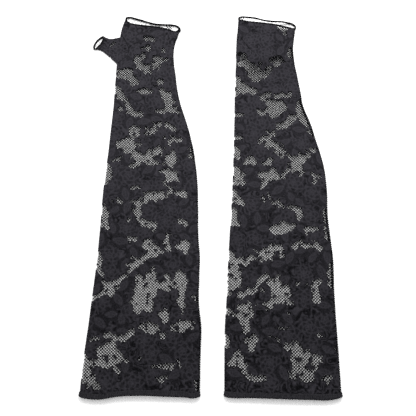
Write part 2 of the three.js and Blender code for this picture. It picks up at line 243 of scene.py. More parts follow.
CLOTH_THICKNESS = 0.35
RELIEF_HEIGHT = 0.3
PALM_RELIEF = 0.3  # share of that height on the palm, which lies flat on the surface
LAYER_LENGTH = 435  # about how long and how wide one layer of the hand is
LAYER_WIDTH = 112
GRID = 1.1  # spacing of the clothwork's mesh
NET_PITCH = 2.1
NET_RADIUS = 0.29
SHEER_EDGE = 9  # depth of the sheer band at the palm's end
THUMB_SHEER_EDGE = 6  # and at the end of the thumb sleeve's palm side
FOLDED_THUMB_RISE = 3  # how much deeper the sleeve is where it lies folded under the hand
SHEER_GAP = {"left": (72, 80), "right": (19, 27)}  # from x to x, where the sheer band holds the window net
SHEER_PITCH = 3.2
SHEER_RADIUS = 0.1
WINDOW_WIDENING = 0.6
HAND_WIDENING = 0.9  # how much wider still the windows are towards the hand
WINDOW_REACH = 9  # how far from a window its distance is kept
LACE_START = 5  # where the lace runs under the hem
MOTIF_TRIES = 1500  # how many places for a rose or a leaf are tried
MOTIF_SPACING = 0.85  # least distance between two of them, as a share of their sizes' sum
MOTIF_CLEARANCE = 0.35  # least distance to a window, as a share of its size
ROSE_SIZE = 8  # a motif larger than this is a rose, and a smaller one a leaf
OVERLOCK_EDGE = 0.9  # how far the overlocking threads stand out past the lace at the sewn edge
OVERLOCK_WIDTH = 2.7
OVERLOCK_PITCH = 2.2
CORD_RADIUS = 1.1

rng = np.random.default_rng(7)
NOISE_TABLE = rng.random((64, 64))


def through(points):
    """A smooth curve through (position, value) points, for arrays."""
    at, value = (np.array(column, float) for column in zip(*points))
    slope = np.gradient(value, at)

    def curve(where):
        where = np.clip(where, at[0], at[-1])
        i = np.clip(np.searchsorted(at, where) - 1, 0, len(at) - 2)
        span = at[i + 1] - at[i]
        t = (where - at[i]) / span
        return (
            (2 * t**3 - 3 * t**2 + 1) * value[i]
            + (t**3 - 2 * t**2 + t) * span * slope[i]
            + (3 * t**2 - 2 * t**3) * value[i + 1]
            + (t**3 - t**2) * span * slope[i + 1]
        )

    return curve


def smooth(value, low, high):
    t = np.clip((value - low) / (high - low), 0, 1)
    return t * t * (3 - 2 * t)


def rounding(distance):
    """From 0 at an edge to 1 past its rounding, as a quarter circle rises."""
    t = np.clip(distance / EDGE_ROUNDING, 0, 1)
    return np.sqrt(1 - (1 - t) ** 2)


def noise(x, y, cell, shift=0):
    """Smooth value noise from -1 to 1, with bumps about one cell apart."""
    u, v = np.asarray(x) / cell + shift * 7.3, np.asarray(y) / cell + shift * 3.1
    i, j = np.floor(u).astype(int), np.floor(v).astype(int)
    fu, fv = smooth(u - i, 0, 1), smooth(v - j, 0, 1)

    def corner(a, b):
        return NOISE_TABLE[(i + a) % 64, (j + b) % 64]

    low = corner(0, 0) * (1 - fu) + corner(1, 0) * fu
    high = corner(0, 1) * (1 - fu) + corner(1, 1) * fu
    return 2 * (low * (1 - fv) + high * fv) - 1


class Raster:
    """Values over a glove's frame, kept every half millimetre and read between those places."""

    SPACING = 0.5

    def __init__(self, start):
        self.x = np.arange(-14, 124, self.SPACING)
        self.y = np.arange(0, 452, self.SPACING)
        self.values = np.full((len(self.y), len(self.x)), float(start))

    def near(self, x, y, reach):
        """The part of the raster within reach of a place, and the places that it holds."""
        columns = slice(*np.searchsorted(self.x, (x - reach, x + reach)))
        rows = slice(*np.searchsorted(self.y, (y - reach, y + reach)))
        return self.values[rows, columns], *np.meshgrid(self.x[columns], self.y[rows])

    def __call__(self, x, y):
        u = np.clip((x - self.x[0]) / self.SPACING, 0, len(self.x) - 1.001)
        v = np.clip((y - self.y[0]) / self.SPACING, 0, len(self.y) - 1.001)
        i, j = u.astype(int), v.astype(int)
        u, v = u - i, v - j
        low = self.values[j, i] * (1 - u) + self.values[j, i + 1] * u
        high = self.values[j + 1, i] * (1 - u) + self.values[j + 1, i + 1] * u
        return low * (1 - v) + high * v


def window_distance(strokes):
    """Signed distance to the nearest stroke, negative inside it."""
    raster = Raster(WINDOW_REACH)
    for stroke in strokes:
        for (ax, ay, ar), (bx, by, br) in zip(stroke, stroke[1:] or stroke):
            length = math.hypot(bx - ax, by - ay)
            reach = length / 2 + max(ar, br) + WINDOW_REACH
            values, x, y = raster.near((ax + bx) / 2, (ay + by) / 2, reach)
            t = ((x - ax) * (bx - ax) + (y - ay) * (by - ay)) / max(length, 0.01) ** 2
            t = np.clip(t, 0, 1)
            distance = np.hypot(x - ax - t * (bx - ax), y - ay - t * (by - ay))
            distance = distance - (ar + t * (br - ar))
            np.minimum(values, distance, out=values)
    return raster


# ---------------------------------------------------------------- roses and leaves in the clothwork


def ridge(distance, width=0.8):
    return np.exp(-((distance / width) ** 2))


def rose(x, y, size, petals):
    """Ridges round the petals of an open rose, in three rings."""
    r, angle = np.hypot(x, y), np.arctan2(y, x)
    lines = ridge(r, 1.2)
    inner = 0
    for ring in (1, 2, 3):
        phase = petals * angle + 2.1 * ring
        edge = size * ring / 3 * (1 + 0.14 * np.cos(phase))
        gap = 2 * r / petals * np.abs(np.cos(phase / 2))
        between = ridge(gap, 0.6) * (r < edge) * (r > inner)
        lines = np.maximum(lines, np.maximum(ridge(r - edge), between))
        inner = edge
    return lines


def leaf(x, y, length, vein_pitch=2.8):
    """Ridges round a leaf's edge, along its midrib and along its side veins."""
    half = 0.42 * length * (1 - np.clip(np.abs(x) / length, 0, 1) ** 1.6)
    edge = ridge(np.abs(y) - half) * (np.abs(x) < length)
    midrib = ridge(y, 0.6) * (np.abs(x) < length)
    veins = 0.5 + 0.5 * np.cos(2 * np.pi * (x - 0.9 * np.abs(y)) / vein_pitch)
    veins = veins * (np.abs(y) < half) * 0.7
    return np.maximum(np.maximum(edge, midrib), veins)


def wavering(x, y):
    """Fine lines that wander and close on themselves, as the contours of a rolling surface."""
    level = noise(x, y, 8, 3) + 0.3 * noise(x, y, 3.4, 11)
    return (0.5 + 0.5 * np.cos(2 * np.pi * 2 * level)) ** 1.5


def relief_of(windows):
    """Raised lines over a glove: wandering lines, and roses and leaves where the clothwork is wide."""
    relief = Raster(0)
    relief.values += 0.9 * wavering(*np.meshgrid(relief.x, relief.y))
    placed = []
    for _ in range(MOTIF_TRIES):
        x, y = rng.uniform(-4, 110), rng.uniform(14, 425)
        size, turn, petals = rng.uniform(6, 11), rng.uniform(0, 2 * math.pi), rng.integers(5, 8)
        clear = windows(np.array([x]), np.array([y]))[0]
        apart = all(math.hypot(x - a, y - b) > MOTIF_SPACING * (size + c) for a, b, c in placed)
        if clear < MOTIF_CLEARANCE * size or not apart:
            continue
        placed.append((x, y, size))
        values, gx, gy = relief.near(x, y, size + 3)
        u = (gx - x) * math.cos(turn) + (gy - y) * math.sin(turn)
        v = (gy - y) * math.cos(turn) - (gx - x) * math.sin(turn)
        lines = rose(u, v, size, petals) if size > ROSE_SIZE else leaf(u, v, size)
        inside = np.hypot(gx - x, gy - y) < size + 1
        values[inside] = 0.25 + 0.6 * lines[inside]
    return relief


# ---------------------------------------------------------------- meshes

GLOVE_ORIGIN = {}
for side in ("left", "right"):
    hem_low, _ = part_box(side + "_arm_hem")
    GLOVE_ORIGIN[side] = np.array([hem_low[0] + HEM_FLARE * MM, hem_low[1], 0.0])


def mesh_object(name, points, faces, material, side, smooth_shade=True):
    """A mesh from points of a glove's frame. faces is a list of arrays, with one row for each face."""
    corners = np.concatenate([group.ravel() for group in faces]).astype(np.int32)
    sizes = np.concatenate([np.full(len(group), group.shape[1]) for group in faces])
    starts = np.concatenate([[0], np.cumsum(sizes)[:-1]]).astype(np.int32)
    mesh = bpy.data.meshes.new(name)
    mesh.vertices.add(len(points))
    mesh.vertices.foreach_set("co", (points * MM + GLOVE_ORIGIN[side]).astype(np.float32).ravel())
    mesh.loops.add(len(corners))
    mesh.loops.foreach_set("vertex_index", corners)
    mesh.polygons.add(len(sizes))
    mesh.polygons.foreach_set("loop_start", starts)
    mesh.polygons.foreach_set("use_smooth", np.full(len(sizes), smooth_shade))
    mesh.materials.append(material)
    mesh.update(calc_edges=True)
    mesh.validate()
    obj = bpy.data.objects.new(name, mesh)
    bpy.context.scene.collection.objects.link(obj)
    return obj


def grid_triangles(rows, columns):
    """Triangles over a grid of points, with the diagonals alternating."""
    i = np.arange(rows * columns).reshape(rows, columns)
    a, b, c, d = i[:-1, :-1].ravel(), i[:-1, 1:].ravel(), i[1:, 1:].ravel(), i[1:, :-1].ravel()
    odd = (np.indices((rows - 1, columns - 1)).sum(axis=0) % 2).ravel().astype(bool)
    first = np.where(odd[:, None], np.stack([a, b, c], 1), np.stack([a, b, d], 1))
    second = np.where(odd[:, None], np.stack([a, c, d], 1), np.stack([b, c, d], 1))
    return np.concatenate([first, second])


def cut_sheet(points, field, triangles):
    """Keeps the part of a sheet where field is positive, and cuts its triangles along the zero line."""
    sign = field[triangles] > 0
    count = sign.sum(axis=1)
    mixed = triangles[(count == 1) | (count == 2)]
    sign = field[mixed] > 0
    odd = np.where(sign.sum(axis=1) == 1, np.argmax(sign, axis=1), np.argmin(sign, axis=1))
    rows = np.arange(len(mixed))
    a, b, c = (mixed[rows, (odd + k) % 3] for k in range(3))
    total = len(points)
    edges = np.concatenate([np.stack([a, b], 1), np.stack([a, c], 1)])
    keys = edges.min(axis=1) * total + edges.max(axis=1)
    unique, inverse = np.unique(keys, return_inverse=True)
    low, high = unique // total, unique % total
    t = np.clip(field[low] / (field[low] - field[high]), 0.04, 0.96)[:, None]
    cuts = points[low] * (1 - t) + points[high] * t
    ab, ac = total + inverse[: len(a)], total + inverse[len(a) :]
    alone = sign.sum(axis=1) == 1
    faces = np.concatenate([
        triangles[count == 3],
        np.stack([a, ab, ac], 1)[alone],
        np.stack([ab, b, c], 1)[~alone],
        np.stack([ab, c, ac], 1)[~alone],
    ])
    used, renumbered = np.unique(faces, return_inverse=True)
    return np.concatenate([points, cuts])[used], renumbered.reshape(faces.shape)


def tubes(paths, radius, sides=4, closed=False, level=(0, 0, 1)):
    """Tubes along paths of points. level is a direction that no path runs along."""
    angles = 2 * np.pi * (np.arange(sides) + 0.5) / sides
    points, walls, ends = [], [], []
    base = 0
    for path in paths:
        if closed:
            along = np.roll(path, -1, axis=0) - np.roll(path, 1, axis=0)
        else:
            along = np.gradient(path, axis=0)
        along /= np.maximum(np.linalg.norm(along, axis=1, keepdims=True), 1e-9)
        across = np.cross(along, level)
        across /= np.maximum(np.linalg.norm(across, axis=1, keepdims=True), 1e-9)
        up = np.cross(across, along)
        size = np.broadcast_to(radius, len(path))[:, None, None]
        ring = np.cos(angles)[:, None] * across[:, None] + np.sin(angles)[:, None] * up[:, None]
        points.append((path[:, None] + size * ring).reshape(-1, 3))
        n = len(path)
        i = np.arange(n if closed else n - 1)[:, None] * sides
        j = (i + sides) % (n * sides)
        k = np.arange(sides)[None]
        m = (k + 1) % sides
        walls.append(base + np.stack([i + k, j + k, j + m, i + m], -1).reshape(-1, 4))
        if not closed:
            ends.append(base + np.arange(sides)[None])
            ends.append(base + (n - 1) * sides + np.arange(sides)[None, ::-1])
        base += n * sides
    return np.concatenate(points), [np.concatenate(group) for group in (walls, ends) if group]


# ---------------------------------------------------------------- the shape of a glove


class Hand:
    """The tube of one glove: its edges, its windows, and the height of its two layers."""

    def __init__(self, side):
        self.side, self.name = side, side
        self.fold = through(FOLD_EDGE[side])
        self.sewn_edge = through(SEWN_EDGE[side])
        self.ends = {"palm": through(PALM_END[side]), "back": through(BACK_END[side])}
        low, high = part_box(side + "_thumb_seam")
        self.root = [(edge[1] - GLOVE_ORIGIN[side][1]) / MM for edge in (low, high)]
        self.lift = low[2] / MM
        drawn = window_distance(WINDOWS[side])
        small_windows = specks(count=340, small=0.6, large=1.5, near=drawn)
        self.windows = window_distance(WINDOWS[side] + small_windows)
        self.relief = relief_of(drawn)

    def sewn(self, y):
        """Where the lace ends at the sewn edge, inside the overlocking threads."""
        return self.sewn_edge(y) - OVERLOCK_EDGE

    def height(self, layer, x, y):
        fold, sewn = self.fold(y), self.sewn(y)
        # At the thumb hole the layers don't meet: they go on into the thumb sleeve.
        low, high = self.root
        hole = smooth(y, low - 1, low + 5) * (1 - smooth(y, high - 5, high + 1))
        spread = np.maximum(rounding(x - fold), hole) * rounding(sewn - x)
        raised = self.lift * smooth(y, *LIFT_ALONG) * (1 - smooth(x - fold, *LIFT_ACROSS))
        raised = raised + HEM_RISE[layer] * (1 - smooth(y, 5, 28)) * spread
        if layer == "palm":
            return MIDDLE_LEVEL - (MIDDLE_LEVEL - PALM_LEVEL) * spread + raised
        across = np.clip((x - fold) / np.maximum(sewn - fold, 1), 0, 1)
        crumple = 0.3 * noise(x, y, 34, 1) + 0.2 * noise(x, y, 13, 2) + 0.1 * noise(x, y, 5, 3)
        dome = DOME * np.sin(np.pi * across) ** 0.8
        depth = BACK_LEVEL - MIDDLE_LEVEL + dome + crumple
        return MIDDLE_LEVEL + depth * spread + raised

    def place(self, layer, x, y_seen):
        """The point of a layer that is seen at a place."""
        y = y_seen
        for _ in range(4):
            z = self.height(layer, x, y)
            y = y_seen - (z - SEEN_LEVEL) * SEEN_SLOPE
        return np.stack([x, y, z], -1)

    def grid(self, layer):
        """Places, as they are seen, in rows across a layer from the hem to the hand."""
        rows, columns = round(LAYER_LENGTH / GRID), round(LAYER_WIDTH / GRID)
        s, t = np.meshgrid(np.linspace(0, 1, columns), np.linspace(0, 1, rows))
        y = LACE_START + t * (LAYER_LENGTH - LACE_START)
        for _ in range(3):
            x = self.fold(y) + s * (self.sewn(y) - self.fold(y))
            y = LACE_START + t * (self.ends[layer](x) - LACE_START)
        return x, y

    def field(self, layer, x, y):
        """Positive where the layer has clothwork."""
        field = jagged(self.windows, x, y) - HAND_WIDENING * smooth(y, 200, 380)
        if layer == "palm":
            field = np.minimum(field, self.ends["palm"](x) - SHEER_EDGE - y)
        return field

    def covers(self, layer, x, y):
        """Whether a place is on the layer, clear of its edges."""
        edge = 0.3
        return (x > self.fold(y) + edge) & (x < self.sewn(y) - edge) & (y < self.ends[layer](x) - edge)

    def sheer(self, layer, x, y, further):
        """Whether a place is in the sheer band of the layer, or within further of it."""
        start, stop = SHEER_GAP[self.side]
        outside = (x < start) | (x > stop)
        return (layer == "palm") & outside & (y > self.ends["palm"](x) - SHEER_EDGE - further)

    def bend(self, points):
        return points


class Thumb:
    """The thumb sleeve of one glove, laid out beside the hand or folded under it."""

    def __init__(self, hand):
        self.side, self.name = hand.side, hand.side + "_thumb"
        self.hand = hand
        self.low, self.high = through(THUMB_LOWER), through(THUMB_UPPER)
        self.ends = {"palm": through(THUMB_PALM_END), "back": through(THUMB_BACK_END)}
        self.windows = window_distance(THUMB_WINDOWS + specks(count=25, small=0.4, large=0.9))
        self.relief = hand.relief
        joint = next(j for j in frame["joints"] if j["name"] == hand.side + "_thumb_fold")
        self.hinge = (np.array(joint["pos_m"]) - GLOVE_ORIGIN[hand.side]) / MM
        self.folded_under = hand.lift > 0

    def height(self, layer, x, y):
        low, high = self.low(x), self.high(x)
        spread = rounding(y - low) * rounding(high - y)
        if layer == "palm":
            return MIDDLE_LEVEL - (MIDDLE_LEVEL - PALM_LEVEL) * spread + self.hand.lift
        crumple = 0.4 * noise(x, y, 9, 5) + 0.2 * noise(x, y, 4, 6)
        deeper = FOLDED_THUMB_RISE * smooth(16 - x, 0, 9) if self.folded_under else 0.3
        depth = BACK_LEVEL - MIDDLE_LEVEL + deeper + crumple
        return MIDDLE_LEVEL + depth * spread + self.hand.lift

    def place(self, layer, x, y):
        return np.stack([x, y, self.height(layer, x, y)], -1)

    def root(self, y):
        """How far the sleeve runs in under the edge of the hand."""
        return self.hand.fold(y) + 1

    def grid(self, layer):
        rows, columns = 50, 46
        t, q = np.meshgrid(np.linspace(0, 1, columns), np.linspace(0, 1, rows))
        x = 18 + q * (self.ends[layer](t) - 18)
        for _ in range(3):
            y = self.low(x) + t * (self.high(x) - self.low(x))
            x = self.root(y) + q * (self.ends[layer](t) - self.root(y))
        return x, y

    def end(self, layer, x, y):
        """How far along the sleeve its end is, beside a place."""
        low, high = self.low(x), self.high(x)
        return self.ends[layer](np.clip((y - low) / np.maximum(high - low, 1), 0, 1))

    def field(self, layer, x, y):
        # The windows of the palm side lie where they are seen through those of the back.
        behind = (BACK_LEVEL - PALM_LEVEL) * SEEN_SLOPE if layer == "palm" else 0
        field = jagged(self.windows, x, y - behind)
        if layer == "palm":
            field = np.minimum(field, x - self.end("palm", x, y) - THUMB_SHEER_EDGE)
        return field

    def covers(self, layer, x, y):
        edge = 0.8
        inside = (y > self.low(x) + edge) & (y < self.high(x) - edge)
        return inside & (x < self.root(y)) & (x > self.end(layer, x, y) + edge)

    def sheer(self, layer, x, y, further):
        return (layer == "palm") & (x < self.end("palm", x, y) + THUMB_SHEER_EDGE + further)

    def bend(self, points):
        """Folds the sleeve round the fold edge of the hand, and under the palm."""
        if not self.folded_under:
            return points
        turn_length, flatten = 2.5, 0.12  # how long the turn is, and how far it stands out
        x, y, z = points.T
        start = self.hand.fold(y) - 0.1
        beyond = start - x
        turn = np.pi * np.clip(beyond / turn_length, 0, 1)
        above = z - self.hinge[2]
        under = np.clip(beyond - turn_length, 0, None)
        turned_x = np.where(beyond > 0, start - flatten * above * np.sin(turn) + under, x)
        return np.stack([turned_x, y, self.hinge[2] + above * np.cos(turn)], -1)


def specks(count, small, large, near=None):
    """Small single windows in clusters. near is the distance to the windows that they keep close to."""
    found = []
    while len(found) < count:
        x, y = rng.uniform(0, 116), rng.uniform(8, 436)
        size, chance = rng.uniform(small, large), rng.random()
        if near is not None and near(np.array([x]), np.array([y]))[0] > 2 + 5 * chance:
            continue
        if noise(x, y, 17, 8) > chance - 0.3:
            found.append([(x, y, size)])
    return found


def jagged(windows, x, y):
    """Positive on clothwork, negative in a window. The window's edge steps along the net's threads."""
    u, v = (x + y) / math.sqrt(2), (x - y) / math.sqrt(2)
    step_u = (np.floor(u / NET_PITCH) + 0.5) * NET_PITCH
    step_v = (np.floor(v / NET_PITCH) + 0.5) * NET_PITCH
    cell_x, cell_y = (step_u + step_v) / math.sqrt(2), (step_u - step_v) / math.sqrt(2)
    rough = 1.1 * noise(x, y, 3.2, 4) + 0.9 * noise(x, y, 1.7, 6)
    field = 0.4 * windows(x, y) + 0.6 * windows(cell_x, cell_y) + rough - WINDOW_WIDENING
    bridges = 2.4 * noise(x, y, 2.6, 8) - 1.5
    return np.maximum(field, bridges)


# ---------------------------------------------------------------- lace


def clothwork(part, layer, material):
    """The clothwork of one layer: a sheet with its windows cut out and its raised lines."""
    grid_x, grid_y = part.grid(layer)
    places = np.stack([grid_x.ravel(), grid_y.ravel()], 1)
    places, faces = cut_sheet(places, part.field(layer, *places.T), grid_triangles(*grid_x.shape))
    x, y = places.T
    relief = np.maximum(part.relief(x, y), 0.6 * ridge(part.field(layer, x, y) - 1, 0.8))
    points = part.place(layer, x, y)
    outward = 1 if layer == "back" else -PALM_RELIEF
    points[:, 2] += outward * (RELIEF_HEIGHT * relief + 0.1 * noise(x, y, 2.3, 9))
    points = part.bend(points)
    if layer == "palm":
        faces = faces[:, ::-1]
    obj = mesh_object(f"{part.name}_{layer}_clothwork", points, [faces], material, part.side)
    # Painted light and shade: the clothwork is painted paler along its raised lines, a painted highlight on
    # the relief with painted shade between them, and paler towards the hand, painted light on that end.
    painted_light = relief + 0.22 * smooth(y, 40, 300)
    attribute = obj.data.attributes.new("painted_light", "FLOAT", "POINT")
    attribute.data.foreach_set("value", painted_light.astype(np.float32))
    solid = obj.modifiers.new("thickness", "SOLIDIFY")
    solid.thickness = CLOTH_THICKNESS * MM
    solid.offset = 0
    return obj


def net(part, layer, material, name, inside, pitch, radius):
    """Crossed diagonal threads wherever inside(x, y) holds."""
    paths = []
    spacing = pitch / 2 / math.sqrt(2)
    for family in (1, -1):
        for line in np.arange(-460, 580, pitch * math.sqrt(2)):
            # Places on the line x + family * y = line.
            y = np.arange(LACE_START, 445, spacing)
            x = line - family * y
            keep = (x > -14) & (x < 118)
            if not keep.any():
                continue
            x, y = x[keep], y[keep]
            x = x + 0.15 * noise(x, y, 6, 6 + family)
            mask = inside(x, y).astype(int)
            changes = np.flatnonzero(np.diff(np.concatenate([[0], mask, [0]])))
            for start, stop in zip(changes[::2], changes[1::2]):
                if stop - start < 2:
                    continue
                path = part.place(layer, x[start:stop], y[start:stop])
                path[:, 2] += 0.5 * radius * family
                paths.append(part.bend(path))
    points, faces = tubes(paths, radius)
    return mesh_object(name, points, faces, material, part.side, smooth_shade=False)


def window_net(part, layer, material):
    """The net across the windows of one layer."""
    under = 0.6  # how far the threads run in under the clothwork

    def inside(x, y):
        open_here = (part.field(layer, x, y) < under) & part.covers(layer, x, y)
        return open_here & ~part.sheer(layer, x, y, -under)

    return net(part, layer, material, f"{part.name}_{layer}_net", inside, NET_PITCH, NET_RADIUS)


def sheer_net(part, material):
    """The open net between the clothwork of the palm side and its corded edge."""
    under = 0.6  # how far the threads run in under the clothwork

    def inside(x, y):
        return part.covers("palm", x, y) & part.sheer("palm", x, y, under)

    return net(part, "palm", material, part.name + "_sheer_edge", inside, SHEER_PITCH, SHEER_RADIUS)


# ---------------------------------------------------------------- cords, seams and hem


def even(path, spacing, closed):
    """The same path with its points evenly spaced."""
    if closed:
        path = np.concatenate([path, path[:1]])
    lengths = np.concatenate([[0], np.cumsum(np.linalg.norm(np.diff(path, axis=0), axis=1))])
    where = np.linspace(0, lengths[-1], round(lengths[-1] / spacing) + 1)
    if closed:
        where = where[:-1]
    return np.stack([np.interp(where, lengths, column) for column in path.T], 1)


def cord(part, name, path, radius, material, closed, level):
    """A cord of twisted thread: a tube that swells and narrows with its stitches."""
    path = even(path, 0.6, closed)
    if closed:
        for _ in range(4):
            path = (np.roll(path, 1, 0) + 2 * path + np.roll(path, -1, 0)) / 4
    count = np.arange(len(path))
    swell = 1 + 0.16 * np.sin(2 * np.pi * count / 3) + 0.12 * noise(count, 0 * count, 7, 1)
    path = part.bend(path)
    path[:, 2] = np.maximum(path[:, 2], 1.35 * radius)  # it lies on the surface
    points, faces = tubes([path], radius * swell, 8, closed, level)
    return mesh_object(name, points, faces, material, part.side)


def opening_cord(part, name, across, radius, material, level):
    """The corded edge round an opening. across(layer) gives the places along that layer's end."""
    palm, back = (part.place(layer, *across(layer)) for layer in ("palm", "back"))
    return cord(part, name, np.concatenate([palm, back[::-1]]), radius, material, True, level)


def hand_cord(hand, material):
    def across(layer):
        x = np.linspace(hand.fold(440.0) + 0.4, hand.sewn(430.0) + 0.3, 70)
        return x, hand.ends[layer](x)

    return opening_cord(hand, hand.side + "_hand_cord", across, CORD_RADIUS, material, (0, 1, 0))


def thumb_cord(thumb, material):
    def across(layer):
        t = np.linspace(0.01, 0.99, 40)
        x = thumb.ends[layer](t)
        return x, thumb.low(x) + t * (thumb.high(x) - thumb.low(x))

    return opening_cord(thumb, thumb.side + "_thumb_cord", across, CORD_RADIUS, material, (1, 0, 0))


def gusset_cord(hand, material):
    """The sewn line round the root of the thumb sleeve, raised on the back of the hand."""
    corners = np.array(GUSSET_SEAM[hand.side], float)
    stations = np.linspace(0, 1, len(corners))
    where = np.linspace(0, 1, 60)
    x, y = (through(list(zip(stations, column)))(where) for column in corners.T)
    path = hand.place("back", x, y)
    path[:, 2] += 0.2
    return cord(hand, hand.side + "_gusset_seam", path, 0.38, material, False, (0, 0, 1))


def overlock(hand, material):
    """The threads at the sewn edge: a zigzag that wraps it, and a chain along it."""
    y = np.arange(LACE_START + 3, 428, OVERLOCK_PITCH / 4)
    edge = hand.sewn_edge(y)
    middle = hand.height("palm", hand.sewn(y), y)
    phase = np.arange(len(y)) % 4
    inner, outer = edge - OVERLOCK_WIDTH, edge - 0.1
    x = np.select([phase == 0, phase == 2], [outer, inner], edge - OVERLOCK_WIDTH / 2)
    z = middle + np.select([phase == 1, phase == 3], [0.75, -0.75], 0)
    wrap = np.stack([x, y, z], 1)
    chain_x = edge - 0.7 + 0.25 * np.sin(y * 2.6)
    chain_z = middle + 0.5 + 0.2 * np.cos(y * 2.6)
    chain = np.stack([chain_x, y, chain_z], 1)
    points, faces = tubes([wrap, chain], 0.28, 5)
    return mesh_object(hand.side + "_overlock_thread", points, faces, material, hand.side)


def allowance(hand, material):
    """The sewn edge's doubled strip of lace, inside the tube."""
    y, t = np.meshgrid(np.arange(LACE_START + 3, 426, 1.5), np.linspace(0, 1, 5), indexing="ij")
    edge = hand.sewn(y)
    x = edge - 0.2 - t * (OVERLOCK_WIDTH - 0.9)
    z = hand.height("palm", edge, y) + 0.12 * noise(x, y, 3, 4)
    points = np.stack([x, y, z], -1).reshape(-1, 3)
    faces = [grid_triangles(*x.shape)]
    obj = mesh_object(hand.side + "_seam_allowance", points, faces, material, hand.side)
    solid = obj.modifiers.new("thickness", "SOLIDIFY")
    solid.thickness = 2 * CLOTH_THICKNESS * MM
    solid.offset = 0
    return obj


def hem(hand, material):
    """The turned and gathered hem: a soft roll all round the arm opening."""
    around, profile = 760, 24
    depth, half_thick, radius, base = 5.6, 1.0, 1.5, 1.4
    end = through(HEM_END[hand.side])
    low, high = hand.fold(4.0) + 0.3, hand.sewn_edge(4.0) - 0.6
    flat, bend = high - low - 2 * radius, np.pi * radius
    d = np.arange(around) / around * 2 * (flat + bend)
    # Four stages round the opening: the back layer, the turn at the sewn edge, the palm layer and
    # the turn at the fold edge.
    stage = np.searchsorted([flat, flat + bend, 2 * flat + bend], d, side="right")
    zero = 0 * d
    turned = [zero, (d - flat) / radius, np.pi + zero, np.pi + (d - 2 * flat - bend) / radius]
    start, stop = low + radius, high - radius
    centres = [start + d, stop + zero, stop - (d - flat - bend), start + zero]
    angle = np.pi / 2 - np.choose(stage, turned)
    centre = np.choose(stage, centres)
    normal = np.stack([np.cos(angle), np.sin(angle)])
    x = centre + radius * normal[0]
    z = radius + radius * normal[1] + base
    z += 0.9 * np.sin(np.pi * np.clip((x - low) / (high - low), 0, 1)) * np.clip(normal[1], 0, 1)
    a = 2 * np.pi * np.arange(profile)[None] / profile
    along = depth / 2 * (1 - np.cos(a))
    gather = 0.14 * np.sin(2 * np.pi * d / 2.9)
    gather = gather + 0.16 * noise(d, zero, 4, 13) + 0.1 * noise(d, zero, 1.6, 14)
    roll = 0.35 * ridge(along - 1.5, 1.1) - 0.3 * ridge(along - 3.2, 0.6) + 0.2 * ridge(along - 4.6, 0.9)
    outside = np.clip(np.sin(a), 0, 1)
    out = (half_thick + gather[:, None]) * np.sin(a) + roll * outside
    seen_shift = (z - SEEN_LEVEL) * SEEN_SLOPE
    free_edge = end(x) - seen_shift * (normal[1] < 0.5)
    y = free_edge[:, None] + along * (1 + 0.14 * noise(d, zero, 11, 15)[:, None])
    # The roll is flattened where it lies on the surface.
    level = np.maximum(z[:, None] + out * normal[1][:, None], 0.05)
    points = np.stack([x[:, None] + out * normal[0][:, None], y, level], -1)
    i = np.arange(around)[:, None] * profile
    j = (i + profile) % (around * profile)
    k = np.arange(profile)[None]
    m = (k + 1) % profile
    faces = np.stack([i + k, j + k, j + m, i + m], -1).reshape(-1, 4)
    return mesh_object(hand.side + "_hem", points.reshape(-1, 3), [faces], material, hand.side)


# ---------------------------------------------------------------- materials


def fabric_material(name, dark, light, line_pitch, bump, painted_light_share=0.0):
    """Dark knitted thread: fine lines, fuzz and patches in its colour, and the lines and fuzz as bumps.

    The last argument is how much the mesh's attribute of painted light and shade, paler on the raised lines
    and towards the hand, adds to the colour.
    """
    made = bpy.data.materials.new(name)
    made.use_nodes = True
    nodes, links = made.node_tree.nodes, made.node_tree.links
    shader = nodes["Principled BSDF"]
    shader.inputs["Roughness"].default_value = 0.8
    shader.inputs["Specular IOR Level"].default_value = 0.03
    where = nodes.new("ShaderNodeTexCoord").outputs["Object"]

    def texture(kind, **settings):
        node = nodes.new(kind)
        for label, value in settings.items():
            node.inputs[label.replace("_", " ")].default_value = value
        links.new(where, node.inputs["Vector"])
        return node.outputs["Fac"]

    def added(first, second, share):
        """first + share * second, where first may be None for nothing."""
        node = nodes.new("ShaderNodeMath")
        node.operation = "MULTIPLY_ADD"
        node.inputs[1].default_value = share
        links.new(second, node.inputs[0])
        if first is None:
            node.inputs[2].default_value = 0
        else:
            links.new(first, node.inputs[2])
        return node.outputs["Value"]

    patches = texture("ShaderNodeTexNoise", Scale=280, Detail=4, Roughness=0.7, Distortion=2.5)
    fuzz = texture("ShaderNodeTexNoise", Scale=700, Detail=4, Roughness=0.7)
    wave_scale = 0.314 / (line_pitch * MM)
    lines = texture("ShaderNodeTexWave", Scale=wave_scale, Distortion=9, Detail=3, Detail_Scale=1.4)
    total = added(added(added(None, patches, 0.6), fuzz, 0.25), lines, 0.12)
    if painted_light_share:
        # Painted light and shade from the mesh: paler on the raised lines and towards the hand.
        painted_light = nodes.new("ShaderNodeAttribute")
        painted_light.attribute_name = "painted_light"
        total = added(total, painted_light.outputs["Fac"], painted_light_share)
    ramp = nodes.new("ShaderNodeValToRGB")
    ramp.color_ramp.elements[0].position = 0.3 + 0.41 * painted_light_share
    ramp.color_ramp.elements[0].color = (*dark, 1)
    ramp.color_ramp.elements[1].position = 0.7 + 0.65 * painted_light_share
    ramp.color_ramp.elements[1].color = (*light, 1)
    links.new(total, ramp.inputs["Fac"])
    links.new(ramp.outputs["Color"], shader.inputs["Base Color"])
    surface = nodes.new("ShaderNodeBump")
    surface.inputs["Strength"].default_value = bump
    surface.inputs["Distance"].default_value = 0.0005
    links.new(added(fuzz, lines, 0.4), surface.inputs["Height"])
    links.new(surface.outputs["Normal"], shader.inputs["Normal"])
    return made


